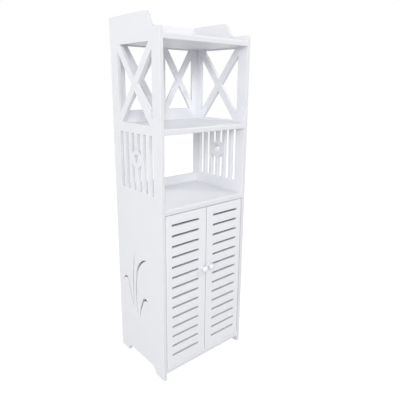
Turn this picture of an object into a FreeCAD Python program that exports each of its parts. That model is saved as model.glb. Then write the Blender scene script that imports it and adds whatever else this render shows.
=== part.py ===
"""A tall white bathroom cabinet of carved board.

Two side panels carry every level: a gallery shelf at the top, an open bay with braced walls, an
open bay with slatted walls, and a cupboard behind two slotted doors that swing on pivot pins.
The frame has +Z up, the doors face -Y, and the origin is on the floor, in the middle of the whole.
"""

import FreeCAD
import Part
import Sketcher

import math
import os
from types import SimpleNamespace

# Every length, in millimetres.
SIZES = {
    # The whole cabinet.
    "width": 306,
    "depth": 234,
    "height": 1000,
    # Board thicknesses.
    "side_board": 10,
    "shelf_board": 15,
    "back_board": 8,
    "door_board": 8,
    # Levels, counted down from the top and up from the floor.
    "gallery_drop": 67,
    "top_bay": 211,
    "middle_bay": 194,
    "bottom_level": 20,
    "inner_shelf_level": 286,
    # Outline of the side panels.
    "crest_drop": 38,
    "left_shoulder": 27,
    "left_ogee": 40,
    "right_shoulder": 52,
    "right_ogee": 54,
    "corner_radius": 6,
    "foot_length": 42,
    "arch_height": 21,
    # Carving of the side panels.
    "front_stile": 36,
    "rear_stile": 36,
    "brace_top_gap": 4,
    "brace_bottom_gap": 6,
    "brace_width": 21,
    "slat_top_gap": 5,
    "slat_bottom_gap": 32,
    "slat_gap_width": 17,
    "ring_diameter": 50,
    "heart_width": 22,
    "heart_height": 25,
    "grass_front": 74,
    "grass_base": 133,
    "grass_width": 136,
    "grass_height": 232,
    # Back pieces.
    "back_inset": 12,
    "back_stile": 22,
    "back_mullion": 34,
    "back_top_rail": 3,
    "back_bottom_rail": 34,
    "back_brace_width": 18,
    "back_lip": 27,
    "gallery_rail_drop": 4,
    # Shelf edges.
    "front_edge_round": 5,
    "front_edge_ease": 2,
    "inner_shelf_setback": 24,
    "inner_shelf_clearance": 0.5,
    # Doors.
    "door_side_gap": 2,
    "door_end_gap": 1.5,
    "door_meeting_gap": 2,
    "door_edge_round": 3,
    "vent_height": 6.2,
    "vent_top_margin": 29,
    "vent_bottom_margin": 36,
    "vent_hinge_margin": 19,
    "vent_meeting_margin": 25,
    # Pivot pins and their bushes.
    "pivot_inset": 9,
    "pin_diameter": 3,
    "pin_in_door": 20,
    "pin_in_bush": 8,
    "pin_clearance": 0.05,
    "bush_wall": 1,
    "bush_depth": 10,
    "bush_flange": 1.2,
    "bush_flange_rim": 1,
    # Knobs and their screws.
    "knob_reach": 20,
    "knob_diameter": 21,
    "knob_crown": 8,
    "knob_neck": 8,
    "knob_neck_diameter": 9,
    "knob_foot_diameter": 13,
    "knob_above_middle": 48,
    "knob_from_edge": 11,
    "knob_screw_grip": 12,
    # Screws.
    "screw_diameter": 4,
    "screw_clearance": 0.1,
    "screw_head_diameter": 8,
    "screw_head_height": 2.4,
    "small_screw_diameter": 3,
    "small_screw_length": 6,
    "small_head_diameter": 5.6,
    "small_head_height": 1.6,
    # Double magnetic catch and the plates that it holds.
    "catch_width": 62,
    "catch_depth": 14,
    "catch_height": 14,
    "catch_gap": 0.3,
    "catch_screw_inset": 6,
    "magnet_width": 14,
    "magnet_height": 9,
    "magnet_depth": 10,
    "magnet_drop": 2.5,
    "magnet_from_middle": 12,
    "plate_thickness": 1.2,
    "plate_width": 16,
    "plate_height": 30,
    "plate_screw_rise": 8,
    # Dowels and shelf pegs.
    "dowel_diameter": 6,
    "thin_dowel_diameter": 4,
    "dowel_in_side": 6.5,
    "dowel_in_board": 16,
    "dowel_clearance": 0.05,
    "dowel_end_room": 0.5,
    "dowel_edge": 45,
    "peg_diameter": 5,
    "peg_reach": 9,
    "peg_edge": 30,
    "peg_seat": 0.2,
    # How far a cutter passes the face that it cuts.
    "overrun": 2,
}

SLAT_GAP_COUNT = 6
VENT_COUNT = 14
BACK_DOWEL_COUNT = 3

# Where a quarter round's middle lies, as a share of its radius in from the corner.
QUARTER_SHARE = 1 - math.sqrt(0.5)
# Where the lower half of an ogee bends, as shares of the ogee's run and rise.
OGEE_SHARES = (0.32, 0.14)
# How high the ring sits on the slats, as a share of their length.
RING_SHARE = 0.55
# Where a knob's hollow neck and its head's underside bend, as shares of their run and rise.
NECK_SHARES = (0.25, 0.45)
UNDERSIDE_SHARES = (0.72, 0.25)

# Four grass blades, as shares of the tuft's width and height. Each is a root, then arcs that are
# given by the point they pass and the point they reach, up one edge and down the other.
BLADE_SHARES = (
    ((0.52, 0.09), ((0.607, 0.52), (0.48, 0.97)), ((0.573, 0.52), (0.52, 0.09))),
    (
        (0.43, 0.03),
        ((0.497, 0.35), (0.455, 0.64)),
        ((0.30, 0.85), (0.055, 0.925)),
        ((0.27, 0.825), (0.425, 0.63)),
        ((0.463, 0.35), (0.43, 0.03)),
    ),
    (
        (0.60, 0.10),
        ((0.685, 0.355), (0.82, 0.545)),
        ((0.905, 0.545), (0.93, 0.42)),
        ((0.895, 0.522), (0.832, 0.52)),
        ((0.72, 0.345), (0.60, 0.10)),
    ),
    (
        (0.345, 0.05),
        ((0.325, 0.205), (0.245, 0.315)),
        ((0.12, 0.392), (0.0, 0.365)),
        ((0.107, 0.367), (0.215, 0.292)),
        ((0.293, 0.193), (0.345, 0.05)),
    ),
)

doc = FreeCAD.newDocument("bathroom_cabinet")
nodes = []


class Size:
    """A length: its value now, and the formula that ties it to the sheet."""

    def __init__(self, value, formula):
        self.value = value
        self.formula = formula

    def __add__(self, other):
        other = as_size(other)
        return Size(self.value + other.value, f"({self.formula} + {other.formula})")

    def __sub__(self, other):
        other = as_size(other)
        return Size(self.value - other.value, f"({self.formula} - {other.formula})")

    def __mul__(self, other):
        other = as_size(other)
        return Size(self.value * other.value, f"({self.formula} * {other.formula})")

    def __truediv__(self, other):
        other = as_size(other)
        return Size(self.value / other.value, f"({self.formula} / {other.formula})")

    def __neg__(self):
        return Size(-self.value, f"(-1 * {self.formula})")

    def __rmul__(self, other):
        return as_size(other) * self

    def root(self):
        return Size(math.sqrt(self.value), f"sqrt({self.formula})")


def as_size(number):
    """A plain number, such as zero or a share, in the form that sums of lengths take."""
    if isinstance(number, Size):
        return number
    return Size(number, repr(number))


def write_sheet():
    """Puts the sizes in a sheet and gives back one Size for each of them."""
    sheet = doc.addObject("Spreadsheet::Sheet", "Sizes")
    for row, (name, value) in enumerate(SIZES.items(), start=1):
        sheet.set(f"A{row}", name)
        sheet.set(f"B{row}", str(value))
        sheet.setAlias(f"B{row}", name)
    doc.recompute()
    return SimpleNamespace(**{name: Size(sheet.get(name), f"Sizes.{name}") for name in SIZES})


mm = write_sheet()


# Sizes that several pieces share.
front = (mm.knob_reach - mm.depth) / 2
inner_half = mm.width / 2 - mm.side_board
inner_width = inner_half * 2
shoulder_height = mm.height - mm.crest_drop
top_level = mm.height - mm.gallery_drop
middle_top = top_level - mm.top_bay
middle_level = middle_top - mm.shelf_board
cupboard_top = middle_level - mm.middle_bay
cupboard_level = cupboard_top - mm.shelf_board
floor_top = mm.bottom_level + mm.shelf_board
back_front = mm.depth - mm.back_inset - mm.back_board
back_rear = mm.depth - mm.back_inset
rail_front = mm.depth - mm.back_board
window_width = mm.depth - mm.front_stile - mm.rear_stile
door_width = inner_half - mm.door_side_gap - mm.door_meeting_gap / 2
door_bottom = floor_top + mm.door_end_gap
door_height = cupboard_level - mm.door_end_gap - door_bottom
door_edge = inner_half - mm.door_side_gap
pivot_x = door_edge - mm.pivot_inset
pivot_depth = mm.door_board / 2
pin_radius = mm.pin_diameter / 2
bush_radius = pin_radius + mm.pin_clearance + mm.bush_wall
knob_x = mm.door_meeting_gap / 2 + mm.knob_from_edge
knob_z = door_bottom + door_height / 2 + mm.knob_above_middle
plate_rear = mm.door_board + mm.plate_thickness
catch_front = plate_rear + mm.catch_gap


def bind(thing, **sizes):
    """Ties properties of an object to the sheet. A double underscore stands for a dot."""
    for name, size in sizes.items():
        thing.setExpression(name.replace("__", "."), as_size(size).formula)


def place(thing, x, depth, z, axis=None):
    """Puts an object at x and z, at a depth behind the doors' faces, its own Z along the axis."""
    if axis is not None:
        turn = FreeCAD.Rotation(FreeCAD.Vector(0, 0, 1), FreeCAD.Vector(*axis))
        thing.Placement = FreeCAD.Placement(FreeCAD.Vector(), turn)
    bind(thing, Placement__Base__x=x, Placement__Base__y=front + depth, Placement__Base__z=z)
    return thing


def node(thing, name):
    """Names an object as a piece of the cabinet."""
    thing.Label = name
    nodes.append(thing)
    return thing


def group(name, things):
    compound = doc.addObject("Part::Compound", name)
    compound.Links = things
    return compound


def fuse(name, things):
    whole = doc.addObject("Part::MultiFuse", name)
    whole.Shapes = things
    return whole


def cut(name, base, tools):
    """The base with holes in it, as a piece of the cabinet."""
    rest = doc.addObject("Part::Cut", name)
    rest.Base = base
    rest.Tool = tools[0] if len(tools) == 1 else group(name + "_cutters", tools)
    return node(rest, name)


def box(name, corner, size):
    """A block from its left, front, lower corner. The depth counts from the doors' faces."""
    block = doc.addObject("Part::Box", name)
    bind(block, Length=size[0], Width=size[1], Height=size[2])
    return place(block, *corner)


def rod(name, start, axis, radius, length):
    """A round bar that runs from its start along the axis."""
    bar = doc.addObject("Part::Cylinder", name)
    bind(bar, Radius=radius, Height=length)
    return place(bar, *start, axis)


def new_body(name, x, depth, z):
    return place(doc.addObject("PartDesign::Body", name), x, depth, z)


def new_sketch(body, name, role):
    """A sketch on one of the body's own origin planes."""
    sketch = body.newObject("Sketcher::SketchObject", name)
    plane = next(item for item in body.Origin.OriginFeatures if item.Role == role)
    sketch.AttachmentSupport = (plane, [""])
    sketch.MapMode = "FlatFace"
    return sketch


def pin_point(sketch, geometry, end, point):
    """Fixes one point of a sketch at its two distances from the sketch's origin."""
    for direction, axis, distance in zip(("DistanceX", "DistanceY"), (-2, -1), point):
        size = as_size(distance)
        if size.formula == "0":
            sketch.addConstraint(Sketcher.Constraint("PointOnObject", geometry, end, axis))
            continue
        limit = Sketcher.Constraint(direction, -1, 1, geometry, end, size.value)
        bind(sketch, **{f"Constraints[{sketch.addConstraint(limit)}]": size})


def vector(point):
    return FreeCAD.Vector(as_size(point[0]).value, as_size(point[1]).value, 0)


def outline(sketch, start, *steps):
    """Draws an outline whose last step comes back to the start. A step is the point that a straight
    run reaches, or a pair: the point that an arc passes and the point that it reaches."""
    curves = []
    here = start
    for step in steps:
        arc = isinstance(step[0], tuple)
        goal = step[1] if arc else step
        ends = vector(here), vector(goal)
        if arc:
            curve = sketch.addGeometry(Part.Arc(ends[0], vector(step[0]), ends[1]), False)
            middle = sketch.addGeometry(Part.Point(vector(step[0])), True)
            pin_point(sketch, middle, 1, step[0])
            sketch.addConstraint(Sketcher.Constraint("PointOnObject", middle, 1, curve))
        else:
            curve = sketch.addGeometry(Part.LineSegment(*ends), False)
        first = sketch.getPoint(curve, 1)
        forward = first.distanceToPoint(ends[0]) < first.distanceToPoint(ends[1])
        first_end, last_end = (1, 2) if forward else (2, 1)
        pin_point(sketch, curve, last_end, goal)
        curves.append((curve, first_end, last_end))
        here = goal
    for before, after in zip(curves, curves[1:] + curves[:1]):
        joint = Sketcher.Constraint("Coincident", before[0], before[2], after[0], after[1])
        sketch.addConstraint(joint)


def rectangle(sketch, low, high):
    outline(sketch, low, (high[0], low[1]), high, (low[0], high[1]), low)


def round_step(corner, before, after):
    """A step of an outline that rounds a corner off, between the two points where the arc ends."""
    passed = []
    for here, near, far in zip(corner, before, after):
        inward = as_size(near) + far - as_size(here) * 2
        passed.append(as_size(here) + inward * QUARTER_SHARE)
    return tuple(passed), after


def pad(body, name, sketch, length):
    feature = body.newObject("PartDesign::Pad", name)
    feature.Profile = sketch
    bind(feature, Length=length)
    return feature


def pocket(body, name, sketch, turned):
    """Cuts a sketch right through its board, on the side of the sketch that the board is on."""
    feature = body.newObject("PartDesign::Pocket", name)
    feature.Profile = sketch
    feature.Type = "ThroughAll"
    feature.Reversed = turned
    return feature


def repeat(body, name, feature, axis, count, span):
    """Copies a feature along an axis of its sketch, evenly over a span."""
    pattern = body.newObject("PartDesign::LinearPattern", name)
    pattern.Originals = [feature]
    pattern.Direction = (feature.Profile[0], [axis])
    pattern.Occurrences = count
    bind(pattern, Length=span)
    body.Tip = pattern


def braces(body, name, role, low, high, width, thickness):
    """Two crossed bars from corner to corner of a window. Half of each bar's end runs into the stile."""
    run = high[0] - low[0]
    rise = high[1] - low[1]
    half = width / 2 * ((run * run + rise * rise) / (rise * rise)).root()
    rising = (low[0], high[0])
    for number, (foot, head) in enumerate((rising, rising[::-1])):
        sketch = new_sketch(body, f"{name}_{number}_sketch", role)
        start = (foot - half, low[1])
        outline(sketch, start, (foot + half, low[1]), (head + half, high[1]), (head - half, high[1]), start)
        pad(body, f"{name}_{number}", sketch, thickness)


def side_outline(sketch, shoulder, ogee):
    """Feet, back edge, crest, ogee and front shoulder, in depth and height."""
    foot = mm.foot_length
    arch = mm.arch_height
    far_foot = mm.depth - foot
    radius = mm.corner_radius
    crest = shoulder + ogee
    bend = (shoulder + ogee / 2, mm.height - mm.crest_drop / 2)
    ogee_run = ogee * OGEE_SHARES[0]
    ogee_rise = mm.crest_drop * OGEE_SHARES[1]
    outline(
        sketch,
        (0, 0),
        (foot, 0),
        round_step((foot, arch), (foot, 0), (foot + arch, arch)),
        (far_foot - arch, arch),
        round_step((far_foot, arch), (far_foot - arch, arch), (far_foot, 0)),
        (mm.depth, 0),
        (mm.depth, mm.height - radius),
        round_step((mm.depth, mm.height), (mm.depth, mm.height - radius), (mm.depth - radius, mm.height)),
        (crest, mm.height),
        ((crest - ogee_run, mm.height - ogee_rise), bend),
        ((shoulder + ogee_run, shoulder_height + ogee_rise), (shoulder, shoulder_height)),
        (radius, shoulder_height),
        round_step((0, shoulder_height), (radius, shoulder_height), (0, shoulder_height - radius)),
        (0, 0),
    )


def side_panel(name, x, shoulder, ogee, drills):
    """One carved side: braces beside the top bay, slats with a ring and heart beside the middle bay,
    and a tuft of grass blades beside the cupboard."""
    body = new_body(name + "_board", x, 0, 0)
    sketch = new_sketch(body, name + "_outline", "YZ_Plane")
    side_outline(sketch, shoulder, ogee)
    pad(body, name + "_blank", sketch, mm.side_board)

    window_front = mm.front_stile
    window_rear = mm.depth - mm.rear_stile
    low = (window_front, middle_top + mm.brace_bottom_gap)
    high = (window_rear, top_level - mm.brace_top_gap)
    window = new_sketch(body, name + "_window_sketch", "YZ_Plane")
    rectangle(window, low, high)
    pocket(body, name + "_window", window, True)
    braces(body, name + "_brace", "YZ_Plane", low, high, mm.brace_width, mm.side_board)

    slat_low = cupboard_top + mm.slat_bottom_gap
    slat_high = middle_level - mm.slat_top_gap
    gap = new_sketch(body, name + "_slat_gap_sketch", "YZ_Plane")
    rectangle(gap, (window_front, slat_low), (window_front + mm.slat_gap_width, slat_high))
    gap_cut = pocket(body, name + "_slat_gap", gap, True)
    repeat(body, name + "_slat_gaps", gap_cut, "H_Axis", SLAT_GAP_COUNT, window_width - mm.slat_gap_width)

    middle = window_front + window_width / 2
    ring_z = slat_low + (slat_high - slat_low) * RING_SHARE
    radius = mm.ring_diameter / 2
    ring = new_sketch(body, name + "_ring_sketch", "YZ_Plane")
    outline(
        ring,
        (middle - radius, ring_z),
        ((middle, ring_z - radius), (middle + radius, ring_z)),
        ((middle, ring_z + radius), (middle - radius, ring_z)),
    )
    pad(body, name + "_ring", ring, mm.side_board)
    heart = new_sketch(body, name + "_heart_sketch", "YZ_Plane")
    heart_outline(heart, middle, ring_z)
    pocket(body, name + "_heart", heart, True)

    grass = new_sketch(body, name + "_grass_sketch", "YZ_Plane")
    for blade in BLADE_SHARES:
        blade_outline(grass, blade)
    pocket(body, name + "_grass", grass, True)
    return cut(name, body, drills)


def heart_outline(sketch, middle, centre):
    """Two half-round lobes over a point."""
    half = mm.heart_width / 2
    lobe = half / 2
    bottom = centre - mm.heart_height / 2
    shoulder = bottom + mm.heart_height - lobe
    outline(
        sketch,
        (middle, bottom),
        (middle + half, shoulder),
        ((middle + lobe, shoulder + lobe), (middle, shoulder)),
        ((middle - lobe, shoulder + lobe), (middle - half, shoulder)),
        (middle, bottom),
    )


def blade_outline(sketch, blade):
    def spot(shares):
        return mm.grass_front + mm.grass_width * shares[0], mm.grass_base + mm.grass_height * shares[1]

    outline(sketch, spot(blade[0]), *[(spot(passed), spot(reached)) for passed, reached in blade[1:]])


def shelf_board(name, level, near, far, half):
    """A level board with a rounded front edge, between two depths."""
    body = new_body(name + "_board", -half, near, level)
    sketch = new_sketch(body, name + "_section", "YZ_Plane")
    run = as_size(far) - near
    top = mm.shelf_board
    ease = mm.front_edge_ease
    rounding = mm.front_edge_round
    outline(
        sketch,
        (ease, 0),
        (run, 0),
        (run, top),
        (rounding, top),
        round_step((0, top), (rounding, top), (0, top - rounding)),
        (0, ease),
        round_step((0, 0), (0, ease), (ease, 0)),
    )
    pad(body, name + "_length", sketch, half * 2)
    return body


def upper_back(drills):
    """The top bay's back: two crossed braces side by side."""
    name = "upper_back_panel"
    height = top_level - middle_level
    body = new_body(name + "_board", -inner_half, back_rear, middle_level)
    sketch = new_sketch(body, name + "_outline", "XZ_Plane")
    rectangle(sketch, (0, 0), (inner_width, height))
    pad(body, name + "_blank", sketch, mm.back_board)
    window = (inner_width - mm.back_stile * 2 - mm.back_mullion) / 2
    for number, start in enumerate((mm.back_stile, mm.back_stile + window + mm.back_mullion)):
        low = (start, mm.shelf_board + mm.back_bottom_rail)
        high = (start + window, height - mm.back_top_rail)
        hole = new_sketch(body, f"{name}_window_{number}_sketch", "XZ_Plane")
        rectangle(hole, low, high)
        pocket(body, f"{name}_window_{number}", hole, True)
        braces(body, f"{name}_brace_{number}", "XZ_Plane", low, high, mm.back_brace_width, mm.back_board)
    return cut(name, body, drills)


def door(name, side, tools):
    """A flush door with rounded edges and a ladder of vent slots."""
    body = new_body(name + "_board", side * door_edge, 0, door_bottom)
    plan = new_sketch(body, name + "_plan", "XY_Plane")
    radius = mm.door_edge_round
    thick = mm.door_board
    inward = -side
    far = inward * door_width
    near_round = inward * radius
    outline(
        plan,
        (near_round, 0),
        (far, 0),
        (far, thick),
        (near_round, thick),
        round_step((0, thick), (near_round, thick), (0, thick - radius)),
        (0, radius),
        round_step((0, 0), (0, radius), (near_round, 0)),
    )
    pad(body, name + "_blank", plan, door_height)
    vent = new_sketch(body, name + "_vent_sketch", "XZ_Plane")
    half = mm.vent_height / 2
    first = mm.vent_bottom_margin
    outer = inward * mm.vent_hinge_margin
    inner = inward * (door_width - mm.vent_meeting_margin)
    rectangle(vent, (outer, first - half), (inner, first + half))
    vent_cut = pocket(body, name + "_vent", vent, False)
    span = door_height - mm.vent_top_margin - mm.vent_bottom_margin
    repeat(body, name + "_vents", vent_cut, "V_Axis", VENT_COUNT, span)
    return cut(name, body, tools)


def dowels(name, spots, diameter):
    """Dowels in both ends of a board at these depths and heights, and the drill for their holes."""
    length = mm.dowel_in_side + mm.dowel_in_board
    room = mm.dowel_end_room
    pegs, drills = [], []
    for side, reach in ((-1, mm.dowel_in_side), (1, mm.dowel_in_board)):
        for number, (depth, z) in enumerate(spots):
            start = side * inner_half - reach
            tag = f"{name}_{'left' if side < 0 else 'right'}_{number}"
            along = (1, 0, 0)
            pegs.append(rod(tag, (start, depth, z), along, diameter / 2, length))
            wide = diameter / 2 + mm.dowel_clearance
            drills.append(rod(tag + "_hole", (start - room, depth, z), along, wide, length + room * 2))
    node(group(name, pegs), name)
    return group(name + "_drill", drills)


def shelf_dowels(name, level, far):
    middle = level + mm.shelf_board / 2
    return dowels(name, ((mm.dowel_edge, middle), (far - mm.dowel_edge, middle)), mm.dowel_diameter)


def back_dowels(name, depth, low, high, count):
    """Thin dowels up both ends of an upright board."""
    step = (high - low) / count
    spots = [(depth, low + step * (number + 0.5)) for number in range(count)]
    return dowels(name, spots, mm.thin_dowel_diameter)


def screw(name, start, axis, shank, head):
    """A screw whose head stands on a surface at the start. Shank and head are a diameter and a length."""
    back = [-way for way in axis]
    shaft = rod(name + "_shank", start, axis, shank[0] / 2, shank[1])
    cap = rod(name + "_head", start, back, head[0] / 2, head[1])
    return fuse(name + "_whole", [shaft, cap])


def pegs_for_inner_shelf():
    """Four pegs that the inner shelf lies on, and the drill for their holes."""
    z = mm.inner_shelf_level - mm.peg_diameter / 2 - mm.peg_seat
    pegs, drills = [], []
    for side in (-1, 1):
        for number, depth in enumerate((mm.inner_shelf_setback + mm.peg_edge, back_front - mm.peg_edge)):
            along = (-side, 0, 0)
            start = side * (inner_half + mm.dowel_in_side)
            tag = f"peg_{'left' if side < 0 else 'right'}_{number}"
            length = mm.dowel_in_side + mm.peg_reach
            pegs.append(rod(tag, (start, depth, z), along, mm.peg_diameter / 2, length))
            wide = mm.peg_diameter / 2 + mm.dowel_clearance
            mouth = (side * (inner_half - mm.overrun), depth, z)
            out = (side, 0, 0)
            hole = mm.overrun + mm.dowel_in_side + mm.dowel_end_room
            drills.append(rod(tag + "_hole", mouth, out, wide, hole))
    node(group("shelf_pegs", pegs), "shelf_pegs")
    return group("shelf_peg_drill", drills)


def pivots(hand, side):
    """A door's two pins and the flanged bushes that they turn in. Gives the cutters for the door and
    for the boards above and below it."""
    door_tools, board_tools = [], {}
    upper = (cupboard_level, door_bottom + door_height, 1)
    lower = (floor_top, door_bottom, -1)
    x = side * pivot_x
    for end, (face, edge, way) in (("upper", upper), ("lower", lower)):
        name = f"{hand}_{end}"
        out = (0, 0, way)
        back = (0, 0, -way)
        reach = mm.door_end_gap + mm.pin_in_bush
        tip = (x, pivot_depth, edge - way * mm.pin_in_door)
        node(rod(f"{name}_pivot_pin", tip, out, pin_radius, mm.pin_in_door + reach), f"{name}_pivot_pin")
        seat = pin_radius + mm.pin_clearance
        mouth = (x, pivot_depth, edge + way * mm.overrun)
        door_tools.append(rod(f"{name}_pin_hole", mouth, back, seat, mm.overrun + mm.pin_in_door))
        start = (x, pivot_depth, face)
        tube = rod(f"{name}_bush_tube", start, out, bush_radius, mm.bush_depth)
        rim = rod(f"{name}_bush_rim", start, back, bush_radius + mm.bush_flange_rim, mm.bush_flange)
        bore_start = (x, pivot_depth, face - way * (mm.bush_flange + mm.overrun))
        bore_length = mm.bush_flange + mm.overrun * 2 + mm.bush_depth
        bore = rod(f"{name}_bush_bore", bore_start, out, seat, bore_length)
        cut(f"{name}_pivot_bush", fuse(f"{name}_bush_blank", [tube, rim]), [bore])
        board_start = (x, pivot_depth, face - way * mm.overrun)
        board_hole = bush_radius + mm.pin_clearance
        hole = rod(f"{name}_bush_hole", board_start, out, board_hole, mm.overrun + mm.bush_depth)
        board_tools[end] = hole
    return door_tools, board_tools


def knob_section(sketch):
    """Half of a turned knob's section: a hollow neck and a mushroom head with a round crown."""
    foot = mm.knob_foot_diameter / 2
    neck = mm.knob_neck_diameter / 2
    rim = mm.knob_diameter / 2
    rim_level = mm.knob_reach - mm.knob_crown
    crown_radius = (rim * rim + mm.knob_crown * mm.knob_crown) / (mm.knob_crown * 2)
    crown_side = (crown_radius * mm.knob_crown / 2).root()
    crown_level = mm.knob_reach - crown_radius + (crown_radius * (crown_radius - mm.knob_crown / 2)).root()
    neck_bend = (neck + (foot - neck) * NECK_SHARES[0], mm.knob_neck * NECK_SHARES[1])
    under_run = (rim - neck) * UNDERSIDE_SHARES[0]
    under_rise = (rim_level - mm.knob_neck) * UNDERSIDE_SHARES[1]
    outline(
        sketch,
        (0, 0),
        (foot, 0),
        (neck_bend, (neck, mm.knob_neck)),
        ((neck + under_run, mm.knob_neck + under_rise), (rim, rim_level)),
        ((crown_side, crown_level), (0, mm.knob_reach)),
        (0, 0),
    )


def knob(hand, side):
    """A turned knob, and the screw that holds it through the door."""
    name = f"{hand}_knob"
    x = side * knob_x
    forward = (0, -1, 0)
    body = place(doc.addObject("PartDesign::Body", name + "_turning"), x, 0, knob_z, forward)
    section = new_sketch(body, name + "_section", "XZ_Plane")
    knob_section(section)
    turning = body.newObject("PartDesign::Revolution", name + "_turned")
    turning.Profile = section
    turning.ReferenceAxis = (section, ["V_Axis"])
    wide = mm.screw_diameter / 2 + mm.screw_clearance
    hole_start = (x, mm.door_board + mm.overrun, knob_z)
    length = mm.door_board + mm.knob_screw_grip
    hole = rod(name + "_screw_hole", hole_start, forward, wide, mm.overrun + length + mm.dowel_end_room)
    cut(name, body, [hole])
    shank = (mm.screw_diameter, length)
    head = (mm.screw_head_diameter, mm.screw_head_height)
    node(screw(name + "_screw", (x, mm.door_board, knob_z), forward, shank, head), name + "_screw")
    return hole


def strike_plate(hand, side):
    """The steel plate on a door's inner face that the catch's magnet holds, and its screw."""
    x = side * mm.magnet_from_middle
    top = cupboard_level - mm.door_end_gap * 2
    low = top - mm.plate_height
    plate = box(
        f"{hand}_plate_blank",
        (x - mm.plate_width / 2, mm.door_board, low),
        (mm.plate_width, mm.plate_thickness, mm.plate_height),
    )
    forward = (0, -1, 0)
    z = low + mm.plate_screw_rise
    wide = mm.small_screw_diameter / 2 + mm.screw_clearance
    start = (x, plate_rear + mm.overrun, z)
    length = mm.overrun + mm.small_screw_length + mm.dowel_end_room
    hole = rod(f"{hand}_plate_hole", start, forward, wide, length)
    cut(f"{hand}_strike_plate", plate, [hole])
    shank = (mm.small_screw_diameter, mm.small_screw_length)
    head = (mm.small_head_diameter, mm.small_head_height)
    node(screw(f"{hand}_plate_screw", (x, plate_rear, z), forward, shank, head), f"{hand}_plate_screw")
    return hole


def catch():
    """The double magnetic catch under the cupboard's top. Gives the holes for its screws."""
    low = cupboard_level - mm.catch_height
    half = mm.catch_width / 2
    block = box("catch_blank", (-half, catch_front, low), (mm.catch_width, mm.catch_depth, mm.catch_height))
    magnets, screws, holes = [], [], []
    for side in (-1, 1):
        hand = "left" if side < 0 else "right"
        x = side * mm.magnet_from_middle
        z = low + mm.magnet_drop
        corner = (x - mm.magnet_width / 2, catch_front, z)
        magnets.append(box(f"{hand}_magnet", corner, (mm.magnet_width, mm.magnet_depth, mm.magnet_height)))
        screw_x = side * (half - mm.catch_screw_inset)
        middle = catch_front + mm.catch_depth / 2
        up = (0, 0, 1)
        length = mm.catch_height + mm.small_screw_length
        shank = (mm.small_screw_diameter, length)
        head = (mm.small_head_diameter, mm.small_head_height)
        screws.append(screw(f"{hand}_catch_screw", (screw_x, middle, low), up, shank, head))
        wide = mm.small_screw_diameter / 2 + mm.screw_clearance
        start = (screw_x, middle, low - mm.overrun)
        holes.append(rod(f"{hand}_catch_hole", start, up, wide, mm.overrun + length + mm.dowel_end_room))
    cut("catch_housing", block, magnets + holes)
    node(group("catch_magnets", magnets), "catch_magnets")
    node(group("catch_screws", screws), "catch_screws")
    return holes


def build():
    """Makes every piece. Each board is drilled by the same cutters as the board that it meets."""
    shelf_drills = {
        "top_shelf": shelf_dowels("top_shelf_dowels", top_level, rail_front),
        "middle_shelf": shelf_dowels("middle_shelf_dowels", middle_level, back_front),
        "cupboard_top": shelf_dowels("cupboard_top_dowels", cupboard_level, back_front),
        "bottom_board": shelf_dowels("bottom_board_dowels", mm.bottom_level, back_front),
    }
    panel_middle = back_front + mm.back_board / 2
    rail_top = mm.height - mm.gallery_rail_drop
    rail_middle = rail_front + mm.back_board / 2
    lip_top = cupboard_top + mm.back_lip
    rail_drill = back_dowels("gallery_rail_dowels", rail_middle, top_level, rail_top, 1)
    upper_drill = back_dowels("upper_back_dowels", panel_middle, middle_level, top_level, BACK_DOWEL_COUNT)
    lower_drill = back_dowels("lower_back_dowels", panel_middle, mm.bottom_level, lip_top, BACK_DOWEL_COUNT)
    peg_drill = pegs_for_inner_shelf()
    side_drills = [*shelf_drills.values(), rail_drill, upper_drill, lower_drill, peg_drill]
    side_panel("left_side_panel", -mm.width / 2, mm.left_shoulder, mm.left_ogee, side_drills)
    side_panel("right_side_panel", inner_half, mm.right_shoulder, mm.right_ogee, side_drills)

    upper_back(drills=[upper_drill])
    lower_size = (inner_width, mm.back_board, lip_top - mm.bottom_level)
    lower = box("lower_back_blank", (-inner_half, back_front, mm.bottom_level), lower_size)
    cut("lower_back_panel", lower, [lower_drill])
    rail_size = (inner_width, mm.back_board, rail_top - top_level)
    rail = box("rail_blank", (-inner_half, rail_front, top_level), rail_size)
    cut("gallery_rail", rail, [rail_drill])

    catch_holes = catch()
    upper_holes, lower_holes = [], []
    for hand, side in (("left", -1), ("right", 1)):
        pin_holes, bush_holes = pivots(hand, side)
        upper_holes.append(bush_holes["upper"])
        lower_holes.append(bush_holes["lower"])
        door(f"{hand}_door", side, [*pin_holes, knob(hand, side), strike_plate(hand, side)])

    depths = {
        "top_shelf": (top_level, rail_front),
        "middle_shelf": (middle_level, back_front),
        "cupboard_top": (cupboard_level, back_front),
        "bottom_board": (mm.bottom_level, back_front),
    }
    other_holes = {"cupboard_top": upper_holes + catch_holes, "bottom_board": lower_holes}
    for name, (level, far) in depths.items():
        board = shelf_board(name, level, 0, far, inner_half)
        cut(name, board, [shelf_drills[name], *other_holes.get(name, [])])
    loose_half = inner_half - mm.inner_shelf_clearance
    loose_far = back_front - mm.inner_shelf_clearance
    loose = shelf_board("inner_shelf", mm.inner_shelf_level, mm.inner_shelf_setback, loose_far, loose_half)
    node(loose, "inner_shelf")


def export():
    """Checks every object, then writes one file for each piece."""
    doc.recompute()
    for thing in doc.Objects:
        if "Invalid" in thing.State or "Error" in thing.State:
            raise RuntimeError(f"{thing.Label} failed: {thing.State}")
    for piece in nodes:
        if piece.Shape.isNull() or not piece.Shape.isValid():
            raise RuntimeError(f"{piece.Label} has no valid shape")
    for thing in doc.Objects:
        if thing.isDerivedFrom("PartDesign::Pocket") and thing.Shape.Volume >= thing.BaseFeature.Shape.Volume:
            raise RuntimeError(f"{thing.Label} cuts nothing")
    os.makedirs("parts", exist_ok=True)
    for piece in nodes:
        piece.Shape.exportStep(os.path.join("parts", piece.Label + ".step"))
        print(f"{piece.Label}: {len(piece.Shape.Solids)} solids, {piece.Shape.Volume / 1000:.1f} cm3")


build()
export()
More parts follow.
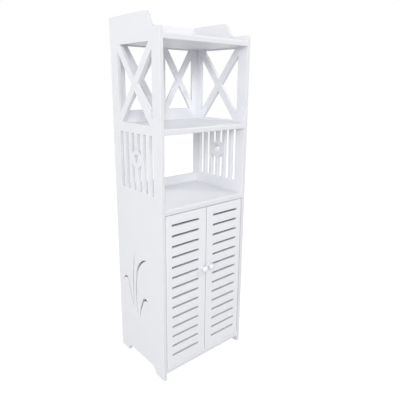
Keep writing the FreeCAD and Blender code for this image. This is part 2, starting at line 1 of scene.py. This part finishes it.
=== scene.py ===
"""The looks of a tall white bathroom cabinet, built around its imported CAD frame.

The boards keep their CAD shapes and get eased edges and the look of white foam board. The screws
are cut anew, with threads and cross recesses, and every other fitting gets the finish of what it is
made of.
"""

import math

import bmesh
import bpy
from bpy.props import FloatProperty, FloatVectorProperty, IntProperty, PointerProperty
from bpy.types import Operator, Panel, PropertyGroup
from mathutils import Matrix, Vector


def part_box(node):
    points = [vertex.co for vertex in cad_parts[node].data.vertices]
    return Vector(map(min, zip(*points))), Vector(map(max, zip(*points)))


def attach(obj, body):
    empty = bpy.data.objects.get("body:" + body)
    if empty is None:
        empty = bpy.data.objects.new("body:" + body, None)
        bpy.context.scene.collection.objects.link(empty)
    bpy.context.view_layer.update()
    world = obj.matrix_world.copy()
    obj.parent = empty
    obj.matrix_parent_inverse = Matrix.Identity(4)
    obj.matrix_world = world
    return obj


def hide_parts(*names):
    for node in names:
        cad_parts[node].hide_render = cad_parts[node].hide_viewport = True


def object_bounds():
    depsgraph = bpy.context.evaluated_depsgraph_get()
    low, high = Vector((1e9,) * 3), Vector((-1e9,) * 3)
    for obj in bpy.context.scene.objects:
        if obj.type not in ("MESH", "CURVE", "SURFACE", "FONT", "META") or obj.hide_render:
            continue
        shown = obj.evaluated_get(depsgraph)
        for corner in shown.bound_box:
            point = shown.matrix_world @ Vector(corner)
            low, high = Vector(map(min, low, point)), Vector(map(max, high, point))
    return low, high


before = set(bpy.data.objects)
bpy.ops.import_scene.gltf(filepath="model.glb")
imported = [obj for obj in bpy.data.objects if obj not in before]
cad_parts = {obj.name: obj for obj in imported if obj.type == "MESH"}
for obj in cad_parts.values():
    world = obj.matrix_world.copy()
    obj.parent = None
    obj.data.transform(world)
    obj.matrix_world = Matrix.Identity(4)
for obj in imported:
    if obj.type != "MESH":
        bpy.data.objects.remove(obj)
CAD_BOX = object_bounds()

bl_info = {
    "name": "White bathroom cabinet",
    "version": (1, 0, 0),
    "blender": (4, 5, 0),
    "location": "View3D > Sidebar > Cabinet",
    "description": "Dresses a carved board cabinet with foam board, fittings and a plain studio",
    "category": "Object",
}

MM = 0.001

# Which boards lie flat across which axis, so that a cut edge is known by the way it faces.
BOARDS = {
    "X": ("left_side_panel", "right_side_panel"),
    "Y": ("gallery_rail", "upper_back_panel", "lower_back_panel", "left_door", "right_door"),
    "Z": ("top_shelf", "middle_shelf", "cupboard_top", "inner_shelf", "bottom_board"),
}
HANDS = ("left", "right")
KNOBS = tuple(f"{hand}_knob" for hand in HANDS)
PIVOTS = tuple(f"{hand}_{end}_pivot" for hand in HANDS for end in ("upper", "lower"))
PINS = tuple(f"{pivot}_pin" for pivot in PIVOTS)
BUSHES = tuple(f"{pivot}_bush" for pivot in PIVOTS)
PLATES = tuple(f"{hand}_strike_plate" for hand in HANDS)
DOWELS = tuple(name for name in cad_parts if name.endswith("_dowels"))

# How far the edges of each kind of fitting are eased.
FITTING_ARRIS = {
    "knob": 0.4 * MM,
    "pin": 0.5 * MM,
    "bush": 0.2 * MM,
    "housing": 0.4 * MM,
    "magnet": 0.3 * MM,
    "plate": 0.25 * MM,
    "peg": 0.6 * MM,
    "dowel": 0.5 * MM,
}
FITTING_ARRIS_STEPS = 2

# Points closer than this are one point, faces that turn less than the first angle are one face, and
# edges that turn more than the second are eased.
WELD_GAP = 0.001 * MM
FLAT_TURN = math.radians(0.3)
SHARP_TURN = math.radians(40)

SHANK_WIDTHS = {"knob_screw": 4 * MM, "plate_screw": 3 * MM, "catch_screws": 3 * MM}
SCREW_SEGMENTS = 32
RINGS_PER_TURN = 8
SCREW_CREASE = math.radians(35)

# Each lamp's place and width, in metres. The stage's settings hold their powers.
LAMPS = {
    "key": ((-3.0, -4.75, 2.5), 2.5),
    "left": ((-2.8, -0.6, 1.3), 1.5),
    "right": ((1.9, 0.2, 2.3), 1.2),
    "front": ((1.4, -1.7, 2.2), 0.4),
    "back": ((0.3, 2.8, 1.6), 3.0),
}
FLOOR_REACH = 30  # metres each way, so that its edge is never seen
# The floor is seen as this share of a white glow, and as matt white under the lamps for the rest.
FLOOR_GLOW = 1.2
FLOOR_GLOW_SHARE = 0.8
SENSOR_WIDTH = 36  # millimetres
LENS_SHIFT = -0.03  # of the picture's width


def linear(hex_code):
    """An sRGB hex colour as linear red, green and blue."""
    parts = [int(hex_code[at:at + 2], 16) / 255 for at in (1, 3, 5)]
    return tuple(p / 12.92 if p <= 0.04045 else ((p + 0.055) / 1.055) ** 2.4 for p in parts)


class BoardSettings(PropertyGroup):
    """White foam boards."""
    skin: FloatVectorProperty(
        name="Skin", description="Colour of the boards' rolled faces",
        subtype="COLOR", size=3, min=0, max=1, default=linear("#E7E8EC"))
    core: FloatVectorProperty(
        name="Core", description="Colour of the boards' cut edges",
        subtype="COLOR", size=3, min=0, max=1, default=linear("#DFE0E4"))
    arris: FloatProperty(
        name="Arris", description="How far the boards' edges are eased",
        subtype="DISTANCE", unit="LENGTH", min=0, default=0.6 * MM)
    arris_steps: IntProperty(
        name="Arris steps", description="Faces across an eased edge",
        subtype="UNSIGNED", min=1, default=3)


class FittingSettings(PropertyGroup):
    """Knobs, screws, pivots, catch and pegs."""
    knob: FloatVectorProperty(
        name="Knob", description="Colour of the knobs' plastic",
        subtype="COLOR", size=3, min=0, max=1, default=linear("#DFE0E4"))
    zinc: FloatVectorProperty(
        name="Zinc", description="Colour of the zinc plating on steel",
        subtype="COLOR", size=3, min=0, max=1, default=linear("#C4C8CC"))
    nylon: FloatVectorProperty(
        name="Nylon", description="Colour of the pivots' bushes",
        subtype="COLOR", size=3, min=0, max=1, default=linear("#E9E7DE"))
    catch: FloatVectorProperty(
        name="Catch", description="Colour of the catch's housing",
        subtype="COLOR", size=3, min=0, max=1, default=linear("#E6E6E8"))
    ferrite: FloatVectorProperty(
        name="Ferrite", description="Colour of the catch's magnets",
        subtype="COLOR", size=3, min=0, max=1, default=linear("#3B3A3C"))
    beech: FloatVectorProperty(
        name="Beech", description="Colour of the dowels",
        subtype="COLOR", size=3, min=0, max=1, default=linear("#D9B48B"))
    thread_pitch: FloatProperty(
        name="Thread pitch", description="Distance between two turns of a screw's thread",
        subtype="DISTANCE", unit="LENGTH", min=0.5 * MM, default=1.2 * MM)


class StageSettings(PropertyGroup):
    """Floor, light and camera."""
    floor: FloatVectorProperty(
        name="Floor", description="Colour of the floor",
        subtype="COLOR", size=3, min=0, max=1, default=linear("#C8C8C8"))
    room_light: FloatProperty(
        name="Room light", description="Strength of the even light from all round",
        subtype="FACTOR", min=0, max=1, default=0.375)
    key_power: FloatProperty(
        name="Key power", description="Power of the lamp behind the camera",
        subtype="POWER", unit="POWER", min=0, default=180)
    left_power: FloatProperty(
        name="Left power", description="Power of the lamp at the cabinet's left",
        subtype="POWER", unit="POWER", min=0, default=26.5)
    right_power: FloatProperty(
        name="Right power", description="Power of the high lamp at the cabinet's right",
        subtype="POWER", unit="POWER", min=0, default=9)
    front_power: FloatProperty(
        name="Front power", description="Power of the high lamp at the cabinet's front right",
        subtype="POWER", unit="POWER", min=0, default=16)
    back_power: FloatProperty(
        name="Back power", description="Power of the broad lamp behind the cabinet",
        subtype="POWER", unit="POWER", min=0, default=41)
    camera_place: FloatVectorProperty(
        name="Camera place", description="Where the camera stands",
        subtype="TRANSLATION", unit="LENGTH", size=3, default=(-0.72066, -0.91309, 0.83380))
    camera_turn: FloatProperty(
        name="Camera turn", description="How far the camera stands round from the front",
        subtype="ANGLE", unit="ROTATION", default=math.radians(-40.766))
    camera_rise: FloatProperty(
        name="Camera rise", description="How steeply the camera looks down",
        subtype="ANGLE", unit="ROTATION", default=math.radians(14.629))
    camera_roll: FloatProperty(
        name="Camera roll", description="How far the camera leans",
        subtype="ANGLE", unit="ROTATION", default=math.radians(0.633))
    lens: FloatProperty(
        name="Lens", description="Focal length on a 36 mm sensor",
        unit="CAMERA", min=1, default=36.22)


def add(tree, kind, inputs=None, **settings):
    """Adds a node with its settings. An input is a value or another node's output."""
    made = tree.nodes.new(kind)
    for name, value in settings.items():
        setattr(made, name, value)
    for socket, value in (inputs or {}).items():
        if isinstance(value, bpy.types.NodeSocket):
            tree.links.new(value, made.inputs[socket])
        else:
            made.inputs[socket].default_value = value
    return made


def new_material(name):
    """An empty material and its node tree."""
    material = bpy.data.materials.new(name)
    material.use_nodes = True
    material.node_tree.nodes.clear()
    return material, material.node_tree


def opaque(colour):
    """A colour with the full alpha that colour sockets want."""
    return (*colour, 1)


def close(tree, shader):
    """Puts a shader on the material's surface."""
    add(tree, "ShaderNodeOutputMaterial", {"Surface": shader.outputs[0]})


def spread(tree, value, low, high, start=0, end=1):
    """Runs from low to high while a value runs from start to end."""
    return add(tree, "ShaderNodeMapRange", {
        "Value": value, "From Min": start, "From Max": end,
        "To Min": low, "To Max": high}).outputs[0]


def shaded(tree, colour, tone):
    """A colour made darker by a tone below one."""
    return add(tree, "ShaderNodeHueSaturation", {"Color": colour, "Value": tone}).outputs[0]


def raised(tree, height, strength, distance, **under):
    """The normal of a fine relief, which may lie on another one."""
    return add(tree, "ShaderNodeBump", {
        "Height": height, "Strength": strength, "Distance": distance, **under}).outputs[0]


def foam_board(name, settings, axis):
    """Rigid PVC foam board, white right through. Its rolled faces have a satin skin with a faint
    ripple and a slightly uneven sheen. Its cut edges show fine cells, so they are duller and a
    little greyer."""
    material, tree = new_material(name)
    place = add(tree, "ShaderNodeTexCoord")
    # The skin's ripple is about 2 mm wide, and is drawn at 5 mm so that it shows.
    ripple = add(tree, "ShaderNodeTexNoise", {
        "Vector": place.outputs["Object"], "Scale": 1 / (5 * MM), "Detail": 2, "Roughness": 0.5})
    # The foam's cells are about 0.2 mm wide, and are drawn at 0.8 mm so that they show.
    cells = add(tree, "ShaderNodeTexVoronoi", {
        "Vector": place.outputs["Object"], "Scale": 1 / (0.8 * MM)})
    # The rollers' sheen changes over about a hand's width.
    sweep = add(tree, "ShaderNodeTexNoise", {
        "Vector": place.outputs["Object"], "Scale": 1 / (110 * MM), "Detail": 1, "Roughness": 0.4})
    # A cut edge is where the surface turns away from the board's own axis.
    facing = add(tree, "ShaderNodeSeparateXYZ", {"Vector": place.outputs["Normal"]})
    flatness = add(tree, "ShaderNodeMath", {0: facing.outputs[axis]}, operation="ABSOLUTE")
    edge = spread(tree, flatness.outputs[0], 0, 1, start=0.75, end=0.45)
    # Sockets 6 and 7 of a colour mix are its two colours, and socket 2 is what comes out.
    bare = add(tree, "ShaderNodeMix", {
        0: edge, 6: opaque(settings.skin), 7: opaque(settings.core)}, data_type="RGBA")
    tone = spread(tree, sweep.outputs["Fac"], 0.985, 1, start=0.3, end=0.7)
    dullness = add(tree, "ShaderNodeMath", {0: sweep.outputs["Fac"], 1: edge}, operation="ADD")
    edge_strength = add(tree, "ShaderNodeMath", {0: edge, 1: 0.12}, operation="MULTIPLY")
    skin_relief = raised(tree, ripple.outputs["Fac"], 0.06, 0.2 * MM)
    close(tree, add(tree, "ShaderNodeBsdfPrincipled", {
        "Base Color": shaded(tree, bare.outputs[2], tone),
        "Roughness": spread(tree, dullness.outputs[0], 0.36, 0.62, start=0.3, end=1.5),
        "IOR": 1.48,
        "Normal": raised(tree, cells.outputs["Distance"], edge_strength.outputs[0], 0.2 * MM,
                         Normal=skin_relief)}))
    return material


def grained(name, colour, grain, tones, relief, sheens=None, **surface):
    """A finish whose tone and relief, and its sheen unless that is even, follow one grain. A grain
    is a noise's width and detail and, where it runs one way, its scale along each axis. Tones and
    sheens are what the grain's low and high give, and a relief is a strength and a height."""
    width, detail, *scale = grain
    material, tree = new_material(name)
    place = add(tree, "ShaderNodeTexCoord").outputs["Object"]
    if scale:
        place = add(tree, "ShaderNodeMapping", {"Vector": place, "Scale": scale[0]}).outputs[0]
    noise = add(tree, "ShaderNodeTexNoise", {
        "Vector": place, "Scale": 1 / width, "Detail": detail}).outputs["Fac"]
    if sheens:
        surface["Roughness"] = spread(tree, noise, *sheens)
    close(tree, add(tree, "ShaderNodeBsdfPrincipled", {
        "Base Color": shaded(tree, opaque(colour), spread(tree, noise, *tones)),
        "Normal": raised(tree, noise, *relief),
        **surface}))
    return material


def glossy_abs(name, colour):
    """Injection-moulded ABS from a polished mould: glossy, with the faint waves that shrinking
    leaves."""
    return grained(
        name, colour, grain=(7 * MM, 1), tones=(0.97, 1), relief=(0.05, 0.3 * MM),
        sheens=(0.25, 0.35), IOR=1.54)


def sparked_plastic(name, colour, grit, roughness):
    """Plastic from a spark-eroded mould: dull, with an even fine grit."""
    return grained(
        name, colour, grain=(grit, 3), tones=(0.93, 1), relief=(0.2, 0.1 * MM),
        sheens=(roughness - 0.08, roughness + 0.08), IOR=1.52)


def zinc_plate(name, colour, scale):
    """Bright zinc plating on drawn or rolled steel. The metal's draw lines run one way and blur the
    reflections across them."""
    # Draw lines are a tenth of a millimetre apart, and are drawn at 0.6 mm so that they show.
    return grained(
        name, colour, grain=(0.6 * MM, 2, scale), tones=(0.85, 1), relief=(0.1, 0.05 * MM),
        sheens=(0.2, 0.42), Metallic=1)


def beech_wood(name, colour):
    """Beech turned into dowels: pale pinkish brown, with short dark flecks along the grain."""
    # Beech flecks are about 0.8 mm wide and several times as long.
    return grained(
        name, colour, grain=(0.8 * MM, 3, (0.12, 1, 1)), tones=(0.7, 1.05),
        relief=(0.3, 0.1 * MM), Roughness=0.65, IOR=1.5)


def finish_node(name, material):
    """Gives a CAD node its material."""
    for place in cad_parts[name].material_slots:
        place.material = material


def ease_edges(name, width, steps):
    """Rounds a CAD node's sharp edges with modifiers, and leaves its own mesh as it is."""
    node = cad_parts[name]
    weld = node.modifiers.new("weld", "WELD")
    weld.merge_threshold = WELD_GAP
    flats = node.modifiers.new("flats", "DECIMATE")
    flats.decimate_type = "DISSOLVE"
    flats.angle_limit = FLAT_TURN
    arris = node.modifiers.new("arris", "BEVEL")
    arris.width = width
    arris.segments = steps
    arris.limit_method = "ANGLE"
    arris.angle_limit = SHARP_TURN
    # Clamping would shrink every edge to suit the shortest one, and sliding makes widths uneven.
    arris.use_clamp_overlap = False
    arris.loop_slide = False
    shading = node.modifiers.new("shading", "WEIGHTED_NORMAL")
    shading.keep_sharp = False
    shading.weight = 100


def finish_fittings(names, kind, material):
    """Gives like fittings their material and their eased edges."""
    for name in names:
        finish_node(name, material)
        ease_edges(name, FITTING_ARRIS[kind], FITTING_ARRIS_STEPS)


def turned(rings, segments, thread):
    """A closed turning about Z. A ring is a height and a radius. A thread gives its lowest height,
    its highest, its pitch and its depth, and stands on the rings between those heights."""
    low, high, pitch, depth = thread
    mesh = bmesh.new()
    loops = []
    for height, radius in rings:
        loop = []
        for step in range(segments):
            angle = math.tau * step / segments
            reach = radius
            if low <= height <= high:
                # The ridge is a peak over the middle half of each turn.
                phase = (height / pitch - step / segments) % 1
                reach += depth * max(0, 1 - abs(phase * 2 - 1) * 2)
            loop.append(mesh.verts.new((reach * math.cos(angle), reach * math.sin(angle), height)))
        loops.append(loop)
    for under, over in zip(loops, loops[1:]):
        for step in range(segments):
            after = (step + 1) % segments
            mesh.faces.new((under[step], under[after], over[after], over[step]))
    mesh.faces.new(list(reversed(loops[0])))
    mesh.faces.new(loops[-1])
    return mesh


def cross_cutter(span, width, depth, top):
    """A cross that narrows as it goes down, to cut a driver's recess from a height."""
    taper = 0.55
    mesh = bmesh.new()
    half, arm = width / 2, span / 2
    quarter = [(arm, -half), (arm, half), (half, half)]
    ring = []
    for turn in range(4):
        for x, y in quarter:
            for _ in range(turn):
                x, y = -y, x
            ring.append((x, y))
    upper = [mesh.verts.new((x, y, top + depth)) for x, y in ring]
    lower = [mesh.verts.new((x * taper, y * taper, top - depth)) for x, y in ring]
    mesh.faces.new(upper)
    mesh.faces.new(list(reversed(lower)))
    for at in range(len(ring)):
        after = (at + 1) % len(ring)
        mesh.faces.new((upper[at], lower[at], lower[after], upper[after]))
    return mesh


def to_object(mesh, name):
    """Turns a mesh in the making into an object of the scene."""
    data = bpy.data.meshes.new(name)
    bmesh.ops.recalc_face_normals(mesh, faces=mesh.faces[:])
    mesh.to_mesh(data)
    mesh.free()
    made = bpy.data.objects.new(name, data)
    bpy.context.scene.collection.objects.link(made)
    return made


def pan_head_screw(name, head, shank, pitch):
    """A pan-head wood screw with its point down: the head's seat is at height zero. Head and shank
    are a diameter and a length, and the other sizes are a screw's usual shares of them."""
    radius, rise = head[0] / 2, head[1]
    core, length = shank[0] / 2, shank[1]
    ridge = 0.3 * core
    point, taper = (-length, 0.1 * core), (-0.93 * length, 0.45 * core)
    low, high, neck = -0.9 * length, -0.12 * length, -0.1 * length
    rim, brow = (0, 0.97 * radius), (0.12 * rise, radius)
    flat = (rise, 0.5 * radius)
    cross = (0.62 * head[0], 0.15 * head[0], 0.62 * rise)

    turns = max(12, round((high - low) / (pitch / RINGS_PER_TURN)))
    rings = [point, taper]
    rings += [(low + (high - low) * step / turns, core - ridge) for step in range(turns + 1)]
    rings += [(neck, core), (0, core), rim, brow]
    for angle in (0, 18, 36, 54, 72):
        bend = math.radians(angle)
        rings.append((rise * (0.4 + 0.6 * math.sin(bend)), radius * (0.55 + 0.45 * math.cos(bend))))
    rings.append(flat)
    blank = to_object(turned(rings, SCREW_SEGMENTS, (low, high, pitch, ridge)), name)
    cutter = to_object(cross_cutter(*cross, rise), name + "_cutter")
    recess = blank.modifiers.new("recess", "BOOLEAN")
    recess.operation = "DIFFERENCE"
    recess.object = cutter
    recess.solver = "EXACT"
    graph = bpy.context.evaluated_depsgraph_get()
    cut = bpy.data.meshes.new_from_object(blank.evaluated_get(graph), depsgraph=graph)
    blank.modifiers.clear()
    blank.data = cut
    bpy.data.objects.remove(cutter)
    if not cut.polygons:
        raise RuntimeError(f"the recess took all of {name}")
    cut.shade_smooth()
    cut.set_sharp_from_angle(angle=SCREW_CREASE)
    return blank


def set_screws(node, body, axis, seats, head, shank, pitch, material):
    """Cuts anew all the screws of a CAD node, as one piece, with a head at each seat."""
    name = node + "_cut"
    turn = Vector((0, 0, 1)).rotation_difference(Vector(axis)).to_matrix().to_4x4()
    parts = []
    for number, seat in enumerate(seats):
        part = pan_head_screw(f"{name}_{number}" if number else name, head, shank, pitch)
        part.data.transform(Matrix.Translation(seat) @ turn)
        parts.append(part)
    whole = parts[0]
    if len(parts) > 1:
        merged = bmesh.new()
        for part in parts:
            merged.from_mesh(part.data)
        merged.to_mesh(whole.data)
        merged.free()
        for part in parts[1:]:
            bpy.data.objects.remove(part)
    whole.data.materials.clear()
    whole.data.materials.append(material)
    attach(whole, body)
    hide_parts(node)


class CABINET_OT_boards(Operator):
    """Eases the boards' edges and gives them the look of foam board"""
    bl_idname = "cabinet.boards"
    bl_label = "Finish the boards"

    def execute(self, context):
        settings = context.scene.cabinet_boards
        for axis, names in BOARDS.items():
            board = foam_board(f"satin_pvc_foam_board_{axis.lower()}", settings, axis)
            for name in names:
                finish_node(name, board)
                ease_edges(name, settings.arris, settings.arris_steps)
        return {"FINISHED"}


class CABINET_OT_knobs(Operator):
    """Gives the knobs their glossy plastic"""
    bl_idname = "cabinet.knobs"
    bl_label = "Finish the knobs"

    def execute(self, context):
        plastic = glossy_abs("glossy_white_abs", context.scene.cabinet_fittings.knob)
        finish_fittings(KNOBS, "knob", plastic)
        return {"FINISHED"}


class CABINET_OT_screws(Operator):
    """Cuts the knobs', plates' and catch's screws with threads and cross recesses"""
    bl_idname = "cabinet.screws"
    bl_label = "Cut the screws"

    def execute(self, context):
        settings = context.scene.cabinet_fittings
        steel = zinc_plate("bright_zinc_on_steel_screws", settings.zinc, (1, 1, 1))
        pitch = settings.thread_pitch
        for hand in HANDS:
            for kind, support in (("knob_screw", "door"), ("plate_screw", "strike_plate")):
                node, rests_on = f"{hand}_{kind}", f"{hand}_{support}"
                low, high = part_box(node)
                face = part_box(rests_on)[1].y
                middle = (low + high) / 2
                head = (high.x - low.x, high.y - face)
                shank = (SHANK_WIDTHS[kind], face - low.y)
                seats = [(middle.x, face, middle.z)]
                set_screws(node, f"{hand}_door_leaf", (0, 1, 0), seats, head, shank, pitch, steel)
        low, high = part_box("catch_screws")
        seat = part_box("catch_housing")[0].z
        head = (high.y - low.y, seat - low.z)
        shank = (SHANK_WIDTHS["catch_screws"], high.z - seat)
        middle = (low.y + high.y) / 2
        seats = [(low.x + head[0] / 2, middle, seat), (high.x - head[0] / 2, middle, seat)]
        set_screws("catch_screws", "carcass", (0, 0, -1), seats, head, shank, pitch, steel)
        return {"FINISHED"}


class CABINET_OT_pivots(Operator):
    """Finishes the doors' pivot pins and the nylon bushes that they turn in"""
    bl_idname = "cabinet.pivots"
    bl_label = "Finish the pivots"

    def execute(self, context):
        settings = context.scene.cabinet_fittings
        steel = zinc_plate("bright_zinc_on_drawn_steel", settings.zinc, (1, 1, 0.1))
        nylon = sparked_plastic("moulded_nylon", settings.nylon, 0.6 * MM, 0.45)
        finish_fittings(PINS, "pin", steel)
        finish_fittings(BUSHES, "bush", nylon)
        return {"FINISHED"}


class CABINET_OT_catch(Operator):
    """Finishes the magnetic catch and the plates that it holds"""
    bl_idname = "cabinet.catch"
    bl_label = "Finish the catch"

    def execute(self, context):
        settings = context.scene.cabinet_fittings
        housing = sparked_plastic("spark_eroded_white_abs", settings.catch, 0.8 * MM, 0.45)
        ferrite = sparked_plastic("pressed_ferrite", settings.ferrite, 0.5 * MM, 0.6)
        plate = zinc_plate("bright_zinc_on_rolled_steel", settings.zinc, (1, 1, 0.08))
        finish_fittings(("catch_housing",), "housing", housing)
        finish_fittings(("catch_magnets",), "magnet", ferrite)
        finish_fittings(PLATES, "plate", plate)
        return {"FINISHED"}


class CABINET_OT_pegs(Operator):
    """Finishes the inner shelf's pegs and the hidden dowels"""
    bl_idname = "cabinet.pegs"
    bl_label = "Finish the pegs and dowels"

    def execute(self, context):
        settings = context.scene.cabinet_fittings
        steel = zinc_plate("bright_zinc_on_drawn_pegs", settings.zinc, (0.1, 1, 1))
        beech = beech_wood("turned_beech", settings.beech)
        finish_fittings(("shelf_pegs",), "peg", steel)
        finish_fittings(DOWELS, "dowel", beech)
        return {"FINISHED"}


def background_rays(tree):
    """One for the rays that show the background: the camera's, and those that mirrors and glass
    pass on."""
    rays = add(tree, "ShaderNodeLightPath")
    seen = add(tree, "ShaderNodeMath", {
        0: rays.outputs["Is Camera Ray"], 1: rays.outputs["Is Glossy Ray"]}, operation="MAXIMUM")
    return add(tree, "ShaderNodeMath", {
        0: seen.outputs[0], 1: rays.outputs["Is Transmission Ray"]}, operation="MAXIMUM").outputs[0]


def studio_floor(settings):
    """A matt pale floor. It looks lit to white, with the cabinet's shadow kept faintly."""
    material, tree = new_material("matt_white_floor")
    matt = add(tree, "ShaderNodeBsdfDiffuse", {"Color": opaque(settings.floor)})
    white = add(tree, "ShaderNodeEmission", {"Color": (1, 1, 1, 1), "Strength": FLOOR_GLOW})
    share = add(tree, "ShaderNodeMath", {0: background_rays(tree), 1: FLOOR_GLOW_SHARE},
                operation="MULTIPLY")
    close(tree, add(tree, "ShaderNodeMixShader", {
        0: share.outputs[0], 1: matt.outputs[0], 2: white.outputs[0]}))
    return material


def soft_lamp(name, place, aim, width, power):
    """Hangs a round soft lamp that points at what it lights, and isn't seen itself."""
    data = bpy.data.lights.new(name, "AREA")
    data.shape = "DISK"
    data.size = width
    data.energy = power
    lamp = bpy.data.objects.new(name, data)
    lamp.location = place
    lamp.visible_camera = False
    lamp.rotation_euler = (Vector(aim) - Vector(place)).to_track_quat("-Z", "Y").to_euler()
    bpy.context.scene.collection.objects.link(lamp)


def white_room(scene, settings):
    """An even white room. It lights the cabinet at its own strength, and is plain white to look
    at."""
    world = bpy.data.worlds.new("white_room")
    world.use_nodes = True
    tree = world.node_tree
    tree.nodes.clear()
    strength = spread(tree, background_rays(tree), settings.room_light, 1)
    light = add(tree, "ShaderNodeBackground", {"Color": (1, 1, 1, 1), "Strength": strength})
    add(tree, "ShaderNodeOutputWorld", {"Surface": light.outputs[0]})
    scene.world = world


def lay_floor(scene, settings):
    """A flat square floor at height zero, wide enough to fill every view."""
    data = bpy.data.meshes.new("floor")
    reach = FLOOR_REACH
    corners = [(-reach, -reach, 0), (reach, -reach, 0), (reach, reach, 0), (-reach, reach, 0)]
    data.from_pydata(corners, [], [(0, 1, 2, 3)])
    data.materials.append(studio_floor(settings))
    floor = bpy.data.objects.new("floor", data)
    scene.collection.objects.link(floor)


def stand_camera(scene, settings):
    """Stands the camera where the photographer stood, turned, tilted and leaning as theirs was."""
    turn, rise, roll = settings.camera_turn, settings.camera_rise, settings.camera_roll
    level = math.cos(rise)
    back = Vector((math.sin(turn) * level, -math.cos(turn) * level, math.sin(rise)))
    right = (-back).cross(Vector((0, 0, 1))).normalized()
    up = right.cross(-back)
    leaning_right = math.cos(roll) * right + math.sin(roll) * up
    leaning_up = math.cos(roll) * up - math.sin(roll) * right
    data = bpy.data.cameras.new("photo_camera")
    data.sensor_width = SENSOR_WIDTH
    data.lens = settings.lens
    data.shift_y = LENS_SHIFT
    camera = bpy.data.objects.new("photo_camera", data)
    axes = Matrix((leaning_right, leaning_up, back)).transposed().to_4x4()
    camera.matrix_world = Matrix.Translation(settings.camera_place) @ axes
    scene.collection.objects.link(camera)
    scene.camera = camera


class CABINET_OT_stage(Operator):
    """Lays the floor, hangs the lamps and stands the camera where the photographer stood"""
    bl_idname = "cabinet.stage"
    bl_label = "Set the stage"

    def execute(self, context):
        scene = context.scene
        settings = scene.cabinet_stage
        lay_floor(scene, settings)
        white_room(scene, settings)
        middle = (CAD_BOX[0] + CAD_BOX[1]) / 2
        for name, (place, width) in LAMPS.items():
            soft_lamp(f"{name}_lamp", place, middle, width, getattr(settings, f"{name}_power"))
        stand_camera(scene, settings)
        scene.view_settings.view_transform = "Standard"
        return {"FINISHED"}


class CABINET_PT_panel(Panel):
    """Lists the cabinet's settings and what builds it"""
    bl_idname = "CABINET_PT_panel"
    bl_label = "Cabinet"
    bl_space_type = "VIEW_3D"
    bl_region_type = "UI"
    bl_category = "Cabinet"

    def draw(self, context):
        for group in SETTINGS:
            box = self.layout.box()
            values = getattr(context.scene, group)
            for name in values.__annotations__:
                box.prop(values, name)
        for operator in OPERATORS:
            self.layout.operator(operator.bl_idname)


SETTINGS = {
    "cabinet_boards": BoardSettings,
    "cabinet_fittings": FittingSettings,
    "cabinet_stage": StageSettings,
}
OPERATORS = (
    CABINET_OT_boards,
    CABINET_OT_knobs,
    CABINET_OT_screws,
    CABINET_OT_pivots,
    CABINET_OT_catch,
    CABINET_OT_pegs,
    CABINET_OT_stage,
)


def register():
    for made in (*SETTINGS.values(), *OPERATORS, CABINET_PT_panel):
        bpy.utils.register_class(made)
    for name, group in SETTINGS.items():
        setattr(bpy.types.Scene, name, PointerProperty(type=group))


def unregister():
    for name in SETTINGS:
        delattr(bpy.types.Scene, name)
    for made in reversed((*SETTINGS.values(), *OPERATORS, CABINET_PT_panel)):
        bpy.utils.unregister_class(made)


def main():
    register()
    bpy.ops.cabinet.boards()
    bpy.ops.cabinet.knobs()
    bpy.ops.cabinet.screws()
    bpy.ops.cabinet.pivots()
    bpy.ops.cabinet.catch()
    bpy.ops.cabinet.pegs()
    bpy.ops.cabinet.stage()


if __name__ == "__main__":
    main()
